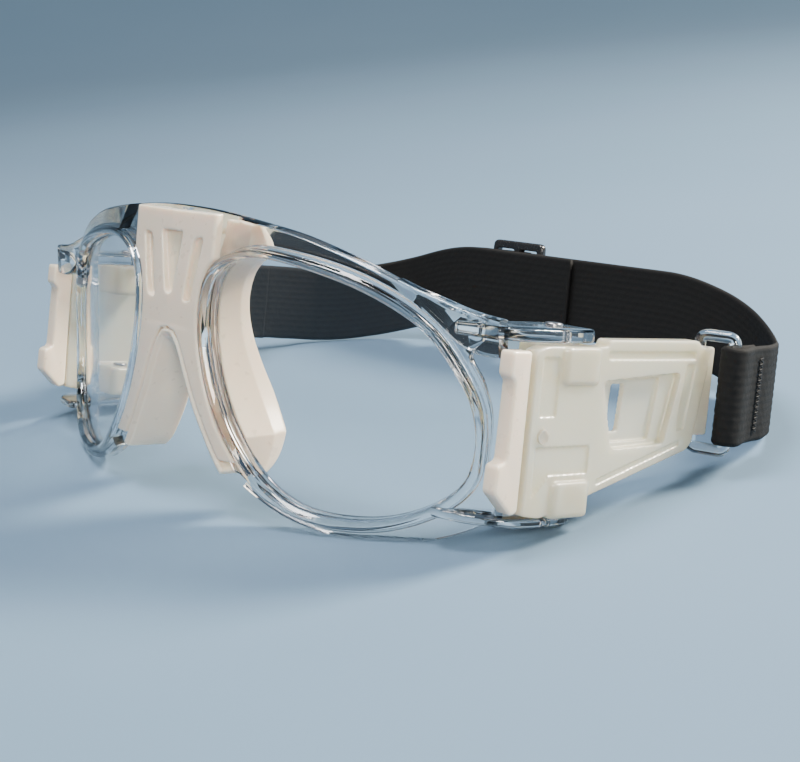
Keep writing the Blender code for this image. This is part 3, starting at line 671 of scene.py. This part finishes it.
def bridge_cover():
    """Plate over the front of the bridge, between the two rim beads."""
    arch = smooth(ARCH, 6, closed=False)
    arch_top, past_middle = arch[-1]
    low, high = 12.2, 56.9
    count = 96
    soft = 0.5 * MM
    sections = []
    for i in range(count):
        z = (low + (high - low) * i / (count - 1)) * MM
        left = lookup(arch, z) - 0.2 * MM if z < arch_top else past_middle
        right = min(nasal_edge(z, BEAD_W) - GAP, BRIDGE_HALF_W if z > OPENING_MID.y else 1)
        right = max(right, left + 1.0 * MM)
        near = soft * 0.3
        ring = [(left, COVER_REAR), (left, COVER_FRONT + soft), (left + near, COVER_FRONT + near),
                (left + soft, COVER_FRONT), (right - soft, COVER_FRONT),
                (right - near, COVER_FRONT + near), (right, COVER_FRONT + soft), (right, COVER_REAR)]
        sections.append([face_point(s, z, d) for s, d in ring])
    return loft("bridge_cover", sections)


def nose_flange():
    """Band that lines the nose arch from the front face back to the soft lip."""
    front = smooth([(-3, 35.4), (1.2, 35.3), (2.7, 34.4), (4.6, 32), (6.6, 28), (9.1, 22.8), (11.9, 18),
                    (14.7, 13.6), (17, 10.6)], 8, closed=False)
    lip = smooth([(-3, 28.0), (1.2, 27.9), (2.9, 26.9), (4.4, 24.6), (5.9, 21.4), (8.0, 17.4), (10.4, 13.6),
                  (13, 10.2), (15.6, 8.2)], 8, closed=False)
    back_y = 11.5 * MM
    sections = []
    for i, (f, r) in enumerate(zip(front, lip)):
        along = heading(front, i)
        inward = Vector((along.y, -along.x))
        if inward.y > 0:
            inward = -inward
        f0, f1 = f + inward * 0.6 * MM, f + inward * 2.1 * MM
        turn = f0 + inward * 0.4 * MM
        outer = r - inward * 4.4 * MM
        sections.append([face_point(f0.x, f0.y, 5.2 * MM), face_point(f0.x, f0.y, COVER_FRONT + 0.4 * MM),
                         face_point(turn.x, turn.y, COVER_FRONT), face_point(f1.x, f1.y, 1.2 * MM),
                         Vector((r.x, back_y - 0.8 * MM, r.y)),
                         Vector(((r.x + outer.x) / 2, back_y, (r.y + outer.y) / 2)),
                         Vector((outer.x, back_y - 0.8 * MM, outer.y))])
    return loft("nose_flange", sections)


def nose_wing():
    """Side wall of the pad, from behind the brow down to the tip of the nose rim."""
    inner = smooth([(8, 17.4), (12, 15), (18, 11.4), (24, 8.4), (30, 6.8), (36, 7.4), (44, 7.8), (52, 9.6)],
                   6, closed=False)
    rear = smooth([(8.4, 8.4), (9.2, 10.5), (10.6, 12.5), (13, 14.3), (17, 15.7), (22.5, 16), (28, 15),
                   (34, 13.8), (40, 13.3), (46, 13.8), (50, 13.4), (52.5, 12), (54.6, 10.4)], 6, closed=False)
    low, high, count = 8.4, 54.6, 72
    sections = []
    for i in range(count):
        z = (low + (high - low) * i / (count - 1)) * MM
        x_in, y_rear = lookup(inner, z), lookup(rear, z)
        x_out = max(min(nasal_edge(z), 19.5 * MM) - 0.5 * MM, x_in + 1.5 * MM)
        start = face_point(x_out, z, 5.1 * MM)
        depth = y_rear - start.y
        x_mid = min(x_in + 0.4 * MM, x_out - 2.6 * MM)
        sections.append([Vector((x_in, start.y, z)), start,
                         Vector((x_out + 0.5 * MM, start.y + depth * 0.6, z)),
                         Vector((x_out + 0.2 * MM, start.y + depth * 0.92, z)),
                         Vector((x_out - 0.9 * MM, y_rear, z)),
                         Vector((x_out - 2.1 * MM, y_rear - 0.7 * MM, z)),
                         Vector((x_mid, start.y + depth * 0.55, z))])
    return loft("nose_wing", sections)


def build_bridge_pad(mat):
    pad = both_sides(bridge_cover(), cut=True)
    combine(pad, both_sides(nose_flange(), cut=True), "UNION")
    combine(pad, both_sides(nose_wing()), "UNION")
    bottom = COVER_FRONT + POCKET_DEPTH
    middle = rounded([(-3.5, 53.2), (3.5, 53.2), (1.1, 41.4), (-1.1, 41.4)], 1.0 * MM)
    slanted = rounded([(6.7, 52.0), (9.7, 52.6), (7.1, 40.6), (4.5, 40.2)], 1.3 * MM)
    combine(pad, prism("pocket_middle", middle, -1 * MM, bottom, face_point), "DIFFERENCE")
    combine(pad, both_sides(prism("pocket_slanted", slanted, -1 * MM, bottom, face_point)), "DIFFERENCE")
    pad.name = "bridge_pad_soft"
    return stand_in(settle(mould(pad, SOFT_VOXEL, 3)), "front", "nose_bridge_pad", mat, 0)


# ---------------------------------------------------------------- side arm
ARM_PANELS = [  # shallow steps in the outer face: corners (along, up) and depth, in millimetres
    ([(21.2, 39.4), (25.4, 39.4), (25.4, 29.2), (21.2, 29.2)], 0.35),
    ([(21.2, 24.2), (34.6, 24.2), (34.6, 19.2), (25.2, 19.2), (21.2, 15.4)], 0.35),
    ([(37.2, 40.4), (61.0, 40.4), (61.0, 38.9), (37.2, 38.9)], 0.4),
    ([(58.6, 38.2), (61.2, 38.2), (59.4, 26.2), (57.2, 26.2)], 0.35),
    ([(37.0, 18.1), (58.6, 24.4), (58.6, 23.3), (37.0, 16.9)], 0.35),
]


def knuckle(name, span):
    """Block that reaches in from the arm to the hinge pin."""
    x, y = (value / MM for value in HINGE)
    plan = rounded([(x - 4.4, y - 4.4), (x + 5, y - 5), (75.3, y - 4.6), (75.3, y + 4.6), (x + 5, y + 5),
                    (x - 4.4, y + 4.4)], 2.0 * MM)
    return prism(name, plan, span[0], span[1], lean, 0.8 * MM, 5)


def build_arm(mat):
    x_in, x_out = ARM_X
    body = rounded([(19.5, 40.3), (19.5, 12.6), (24, 11.9), (34, 14.8), (60.8, 22.4), (62.2, 23.6),
                    (65.4, 41.2), (62.6, 41.2), (61.4, 42.4), (37.4, 42.4), (37, 41.2), (22, 41.2)],
                   0.9 * MM)
    arm = prism("arm_frosted_left", body, x_in, x_out, side_place, 0.3 * MM)
    barrel = rounded([(60.5, 24.9), (67.3, 24.9), (67.3, 41.2), (60.5, 41.2)], 0.6 * MM)
    combine(arm, prism("barrel", barrel, x_in - 1.6 * MM, x_out - 0.9 * MM, side_place, 0.4 * MM), "UNION")
    for name, span in (("upper_knuckle", UPPER_KNUCKLE), ("lower_knuckle", LOWER_KNUCKLE)):
        combine(arm, knuckle(name, span), "UNION")
        hole = circle(HINGE, PIN_R + PIN_CLEAR)
        bore = prism(name + "_bore", hole, span[0] - 2 * MM, span[1] + 2 * MM, lean)
        combine(arm, bore, "DIFFERENCE")
    cuts = [(rounded([(36.6, 35.2), (57.2, 36.6), (54.2, 23.8), (40.2, 23.2)], 1.2 * MM), x_out - 1.5 * MM),
            (rounded([(39.8, 35.2), (53.2, 35.6), (51.4, 24.4), (40.4, 24.2)], 0.9 * MM), x_out - 2.3 * MM),
            (rounded([(41.2, 34.4), (44.6, 34.4), (44.0, 26), (40.7, 26)], 0.5 * MM), x_in - 2 * MM)]
    cuts += [(rounded(corners, 0.5 * MM), x_out - depth * MM) for corners, depth in ARM_PANELS]
    for i, (outline, bottom) in enumerate(cuts):
        combine(arm, prism(f"cut_{i}", outline, bottom, x_out + 2 * MM, side_place), "DIFFERENCE")
    bore = prism("ring_bore", circle(RING_PIVOT, RING_STOCK_R + 0.15 * MM), 20 * MM, 46 * MM, lean)
    combine(arm, bore, "DIFFERENCE")
    settle(mould(arm, HARD_VOXEL, 3))
    pair(arm, "arm", mat, 0)


def build_temple_pad(mat):
    """Soft strip along the front edge of the arm, with a tab at the top and one at the bottom."""
    outline = rounded([(14.5, 40.3), (19.0, 40.3), (19.0, 13.2), (17.5, 12.6), (13.2, 16.6), (13.4, 21.2),
                       (15.2, 21.9), (15.5, 35.3), (14.4, 36.2)], 0.7 * MM)
    strip = prism("temple_strip_left", outline, 70.6 * MM, 73.9 * MM, side_place, 0.5 * MM, 5)
    pair(strip, "temple_pad", mat)


def turned(name, centre, profile, place, steps=40):
    """Round solid from (radius, level) pairs; place(a, b, level) gives the point."""
    return loft(name, [[place(p.x, p.y, level) for p in circle(centre, radius, steps)]
                       for radius, level in profile])


def build_plug(mat):
    """Small plain round plug on the arm, with a shallow dish."""
    low, high = ARM_X[1] + 0.05 * MM, ARM_X[1] + 0.45 * MM
    profile = [(1.3 * MM, low), (1.3 * MM, high - 0.12 * MM), (1.22 * MM, high), (0.95 * MM, high),
               (0.8 * MM, high - 0.12 * MM), (0.2 * MM, high - 0.14 * MM)]
    plug = turned("arm_plug_round_left", (22.6 * MM, 26 * MM), profile, side_place)
    pair(plug, "arm_plug", mat)


def build_pin(name, node_name, low, high, mat):
    """Headed steel pin with a chamfered tip."""
    head_r, head_top = PIN_R + 0.7 * MM, high + 0.45 * MM
    profile = [(PIN_R - 0.2 * MM, low), (PIN_R, low + 0.2 * MM), (PIN_R, high), (head_r, high),
               (head_r, head_top - 0.2 * MM), (head_r - 0.15 * MM, head_top - 0.05 * MM),
               (head_r - 0.4 * MM, head_top), (0.3 * MM, head_top)]
    pair(turned(name, HINGE, profile, lean), node_name, mat, 50)


def build_ring(mat):
    """Closed rectangular loop: one upright in the arm's barrel, the other carries the strap."""
    x0, y0 = RING_PIVOT
    x1, y1 = x0 + RING_REACH[0], y0 + RING_REACH[1]
    low, high = RING_Z[0] + RING_STOCK_R, RING_Z[1] - RING_STOCK_R
    corner = 1.4 * MM
    across = Vector((x1 - x0, y1 - y0)).normalized()
    width = Vector((x1 - x0, y1 - y0)).length
    centres = [(corner, low + corner, 180), (width - corner, low + corner, 270),
               (width - corner, high - corner, 0), (corner, high - corner, 90)]
    bend_steps, round_steps = 10, 28
    sections = []
    for u, v, start in centres:
        for i in range(bend_steps + 1):
            a = math.radians(start + i * 90 / bend_steps)
            section = []
            for k in range(round_steps):
                b = 2 * math.pi * k / round_steps
                reach, side = corner + RING_STOCK_R * math.cos(b), RING_STOCK_R * math.sin(b)
                pu, pv = u + reach * math.cos(a), v + reach * math.sin(a)
                x = x0 + across.x * pu - across.y * side
                y = y0 + across.y * pu + across.x * side
                section.append(lean(x, y, pv))
            sections.append(section)
    pair(loft("strap_ring_left", sections, closed=True), "ring", mat, 60)


# ---------------------------------------------------------------- strap
def back_lift(x):
    """Lower edge of the strap, which climbs from each corner and runs level across the middle."""
    t = min(1.0, max(0.0, (CORNER[0] - abs(x)) / (CORNER[0] - BACK_LEVEL_X)))
    return STRAP_Z + BACK_RISE * math.sin(math.pi / 2 * t) ** BACK_RISE_EASE


def back_y(x):
    t = max(0.0, abs(x) - BACK_STRAIGHT_X) / (CORNER[0] - BACK_STRAIGHT_X)
    return BACK_MID_Y - (BACK_MID_Y - CORNER[1]) * t ** BACK_CURVE_EASE


def even_path(points, step):
    """Points a fixed distance apart on a smooth curve through the given ones."""
    curve = smooth([p / MM for p in points], 12, closed=False)
    out, carried = [curve[0]], 0.0
    for a, b in zip(curve, curve[1:]):
        length = (b - a).length
        while carried + length >= step:
            t = (step - carried) / length
            a = a + (b - a) * t
            length = (b - a).length
            carried = 0.0
            out.append(a)
        carried += length
    return out


def side_run():
    """The ring's free bar, and the directions along the strap's side and out from it."""
    bar = Vector((RING_PIVOT[0] + RING_REACH[0], RING_PIVOT[1] + RING_REACH[1]))
    along = (Vector(CORNER) - bar).normalized()
    return bar, along, Vector((along.y, -along.x))


def strap_side_path():
    """Sewn loop round the ring's free bar, then back to the corner of the strap."""
    bar, along, out = side_run()
    radius = RING_STOCK_R + GAP + WEB_T / 2
    # along and out from the bar, in millimetres: the sewn inner layer, then the outer one
    near = [(11, 0.78), (8.6, 0.78), (6.2, 0.85), (3.6, 1.4), (1.6, 1.9)]
    far = [(1.6, 1.9), (3.6, 1.5), (6.2, 1.0), (8.6, 0.85), (11, 0.8), (14, 0.9), (16.5, 0.6)]
    inner = [bar + along * u * MM - out * v * MM for u, v in near]
    loop = []
    for i in range(9):
        a = math.radians(180 + 22.5 * i)
        loop.append(bar + out * math.cos(a) * radius + along * math.sin(a) * radius)
    outer = [bar + along * u * MM + out * v * MM for u, v in far]
    return inner + loop + outer + [Vector(CORNER) - along * 1.6 * MM]


def back_path(end, inward=0.0):
    """Half of the strap's back, from just past the +X corner to x = end."""
    steps, start = 14, CORNER[0] - 1.8 * MM
    shift_run = 12 * MM
    points = []
    for i in range(steps + 1):
        x = start + (end - start) * (i / steps) ** 1.4
        shift = inward * min(1.0, (CORNER[0] - x) / shift_run)
        points.append(Vector((x, back_y(x) - shift)))
    return points


def web_section(k):
    """Offsets (across, out) of the webbing's section at mesh step k: warp cords that rise and dip in turn."""
    samples = CORDS * 3
    half, relief, dip = WEB_T / 2, 0.09 * MM, 0.05 * MM
    selvedge, thinnest = 0.8 * MM, 0.12
    face = []
    for j in range(samples + 1):
        v = j / samples
        cord = abs(math.sin(math.pi * v * CORDS))
        over = math.cos(math.pi * k / PICK + math.pi * int(v * CORDS - 1e-9))
        edge = min(1.0, min(v, 1 - v) * WEB_W / selvedge)
        rounding = math.sqrt(1 - (1 - edge) ** 2) if edge < 1 else 1.0
        out = (half - relief * (1 - cord) - dip * (1 - over) / 2) * max(rounding, thinnest)
        face.append((v * WEB_W, out))
    return face + [(v, -out) for v, out in reversed(face)]


def webbing(name, points):
    """Woven band of webbing along a plan path, with its weave in the mesh and in its texture space."""
    path = even_path(points, WEAVE_STEP)
    sections, spots = [], []
    for k, p in enumerate(path):
        along = heading(path, k)
        side = Vector((-along.y, along.x))
        low = back_lift(p.x)
        section = web_section(k)
        spots += [(k * WEAVE_STEP / MM, across / MM) for across, _ in section]
        sections.append([lean(*(p + side * out), low + across) for across, out in section])
    obj = loft(name, sections)
    layer = obj.data.uv_layers.new(name="weave")
    for loop in obj.data.loops:
        layer.data[loop.index].uv = spots[loop.vertex_index]
    length = (len(path) - 1) * WEAVE_STEP
    return obj, length


def build_half_strap(side, end, inward, mat):
    """One half of the strap, sewn round its ring and turning at the corner into the back."""
    points = strap_side_path() + back_path(end, inward)
    sign = 1 if side == "left" else -1
    obj, length = webbing(f"strap_{side}", points)
    if sign < 0:
        obj.data.transform(Matrix.Diagonal((-1, 1, 1, 1)))
        obj.data.flip_normals()
    dress(obj, mat, 0)
    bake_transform(obj)
    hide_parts(f"strap_side_{side}", f"strap_back_{side}")


def build_tail(mat):
    """Short tail of webbing: under one side bar, over the middle bar, under the other."""
    shape = [(9.5, -1), (7.2, -1), (5.2, -0.76), (3.6, 0), (2.2, 0.76), (0, 1), (-2.2, 0.76), (-3.6, 0),
             (-5.2, -0.76), (-7.2, -1), (-10, -1), (-16, -1)]
    points = [Vector((SLIDER_X + u * MM, SLIDER_Y + v * WEAVE_DIP)) for u, v in shape]
    obj, length = webbing("strap_tail_woven", points)
    stand_in(obj, "slider_body", "strap_tail", mat, 0)


def build_slider(mat):
    """Three-bar slide with rounded bars and two slots."""
    low = back_lift(SLIDER_X) - SLIDER_SINK
    half, bottom, top = 8.2, *SLIDER_UP

    def place(u, v, w):
        return lean(SLIDER_X + u, SLIDER_Y + w, low + v)

    outer = rounded([(-half, bottom), (half, bottom), (half, top), (-half, top)], 1.6 * MM)
    slider = prism("slider_three_bar", outer, -SLIDER_T, SLIDER_T, place, 0.7 * MM, 5)
    for i, sign in enumerate((1, -1)):
        near, far = sign * 0.9, sign * 6.5
        slot = rounded([(near, 0), (far, 0), (far, 18.8), (near, 18.8)], 0.6 * MM)
        combine(slider, prism(f"slot_{i}", slot, -3 * MM, 3 * MM, place), "DIFFERENCE")
    stand_in(settle(mould(slider, SLIDER_VOXEL, 5)), "slider_body", "slider", mat, 0)


# ---------------------------------------------------------------- sewn bars
def stitch(start, end, across, radius):
    """Rounded thread between two points, bowed out where it leaves the cloth."""
    rings, around = 7, 8
    along = end - start
    bow = along.cross(across).normalized()
    sections = []
    for i in range(rings):
        t = i / (rings - 1)
        middle = start + along * t + bow * radius * 0.9 * math.sin(math.pi * t)
        thick = radius * (0.55 + 0.45 * math.sin(math.pi * t))
        turns = [2 * math.pi * k / around for k in range(around)]
        sections.append([middle + (across * math.cos(a) + bow * math.sin(a)) * thick for a in turns])
    return sections


def sewn_bar(name, origin, along, out, low, height):
    """Close row of stitches, one above the other, each lying along the webbing."""
    spacing, thread_r, reach = 0.5 * MM, 0.2 * MM, 1.3 * MM
    verts, faces = [], []
    for i in range(int(height / spacing)):
        z = low + spacing * (i + 0.5)
        slope = 0.3 * MM * (1 if i % 2 else -1)
        start = lean(*(origin + out * 0.2 * MM), z - slope / 2)
        end = lean(*(origin + along * reach + out * 0.2 * MM), z + slope / 2)
        sections = stitch(start, end, lean(0, 0, 1), thread_r)
        n, base = len(sections[0]), len(verts)
        verts += [v for section in sections for v in section]
        for s in range(len(sections) - 1):
            faces += ring_faces(base + s * n, base + (s + 1) * n, n)
        last = base + (len(sections) - 1) * n
        faces += [tuple(range(base, base + n)), tuple(range(last, last + n))]
    return object_from(name, verts, faces)


def build_tacks(mat):
    bar, along, out = side_run()
    origin = bar + along * 8.8 * MM + out * 1.45 * MM
    height = WEB_W - 4 * MM
    left = sewn_bar("sewn_bar_left", origin, along, out, STRAP_Z + 2 * MM, height)
    pair(left, "bar_tack", mat)
    x, y = SLIDER_X - 13 * MM, SLIDER_Y - WEAVE_DIP + WEB_T / 2
    low = back_lift(x) + 2 * MM
    tail = sewn_bar("sewn_bar_tail", Vector((x, y)), Vector((1, 0)), Vector((0, 1)), low, height)
    stand_in(tail, "slider_body", "bar_tack_tail", mat)


# ---------------------------------------------------------------- stage
def build_floor(mat):
    """Round pale floor whose edge sweeps up all round, so that every view has a plain background."""
    flat, sweep, steps, columns = 0.8, 0.7, 20, 64
    turns = [math.pi / 2 * i / steps for i in range(steps + 1)]
    profile = [(0.05, 0.0), (flat * 0.5, 0.0)]
    profile += [(flat + sweep * math.sin(t), sweep * (1 - math.cos(t))) for t in turns]
    profile.append((flat + sweep, sweep + 0.5))
    sections = []
    for radius, height in profile:
        turn = 2 * math.pi / columns
        sections.append([Vector((radius * math.cos(turn * i), radius * math.sin(turn * i), height))
                         for i in range(columns)])
    verts = [v for section in sections for v in section]
    faces = [tuple(range(columns))]
    for s in range(len(sections) - 1):
        a, b = s * columns, (s + 1) * columns
        faces += [(a + j, b + j, b + (j + 1) % columns, a + (j + 1) % columns) for j in range(columns)]
    mesh = bpy.data.meshes.new("floor")
    mesh.from_pydata([tuple(v) for v in verts], [], faces)
    mesh.shade_smooth()
    mesh.materials.append(mat)
    floor = bpy.data.objects.new("floor", mesh)
    bpy.context.scene.collection.objects.link(floor)


def area_light(name, place, size, power, colour, target=(0, 0, 0.02)):
    data = bpy.data.lights.new(name, "AREA")
    data.energy = power
    data.size = size
    data.color = colour
    light = bpy.data.objects.new(name, data)
    light.location = place
    light.rotation_euler = (Vector(target) - Vector(place)).to_track_quat("-Z", "Y").to_euler()
    bpy.context.scene.collection.objects.link(light)


def build_lights():
    area_light("window", (0.35, 0.60, 0.50), 0.25, 29.0, (1.0, 0.93, 0.81))
    area_light("ceiling", (-0.1, -0.1, 0.9), 0.35, 13.0, (0.98, 0.98, 1.0))
    area_light("fill", (0.55, -0.35, 0.30), 0.2, 4.6, (1.0, 0.95, 0.88))
    world = bpy.data.worlds.new("studio")
    bpy.context.scene.world = world
    world.use_nodes = True
    background = world.node_tree.nodes["Background"]
    background.inputs["Color"].default_value = (0.62, 0.68, 0.75, 1)
    background.inputs["Strength"].default_value = 0.27


def build_camera():
    """Three-quarter view from the wearer's left, a little above the table."""
    place = Vector((272.9, -180.9, 89.3)) * MM
    azimuth, elevation = math.radians(48.62), math.radians(11.24)
    back = Vector((math.sin(azimuth) * math.cos(elevation), -math.cos(azimuth) * math.cos(elevation),
                   math.sin(elevation)))
    data = bpy.data.cameras.new("camera")
    data.sensor_width = 36
    data.lens = 79.1
    data.clip_start = 0.01
    camera = bpy.data.objects.new("camera", data)
    bpy.context.scene.collection.objects.link(camera)
    bpy.context.scene.camera = camera
    camera.matrix_world = ROW @ Matrix.LocRotScale(place, (-back).to_track_quat("-Z", "Y"), None)


# shared by the functions above
OPENING_LOOP = smooth(OPENING, 16)
OUTLINE_LOOP = smooth(OUTLINE, 12, sharp=SHARP_OUTLINE)
ROW = row_matrix()

build_camera()
clear = clear_material("clear_shell_look", 0.05, (0.975, 0.98, 0.985))
silicone = silicone_material()
frosted = frosted_material()
steel = steel_material()
webbing_look = webbing_material()
thread = thread_material()

build_front(clear)
build_lens(clear_material("lens_look", 0.02, (0.99, 0.992, 0.995)))
build_bridge_pad(silicone)
build_arm(frosted)
build_temple_pad(silicone)
build_plug(frosted)
build_pin("hinge_pin_upper_left", "pin_upper", UPPER_KNUCKLE[0] + PIN_INSET, UPPER_LUG[1] + PIN_PROUD, steel)
build_pin("hinge_pin_lower_left", "pin_lower", LOWER_LUG[0] + PIN_INSET, LOWER_KNUCKLE[1] + PIN_PROUD, steel)
build_ring(clear)
build_slider(slider_material())
build_half_strap("left", OVERLAP[0], 0.0, webbing_look)
build_half_strap("right", -OVERLAP[1], LAYER, webbing_look)
build_tail(webbing_look)
build_tacks(thread)
build_floor(floor_material())
build_lights()
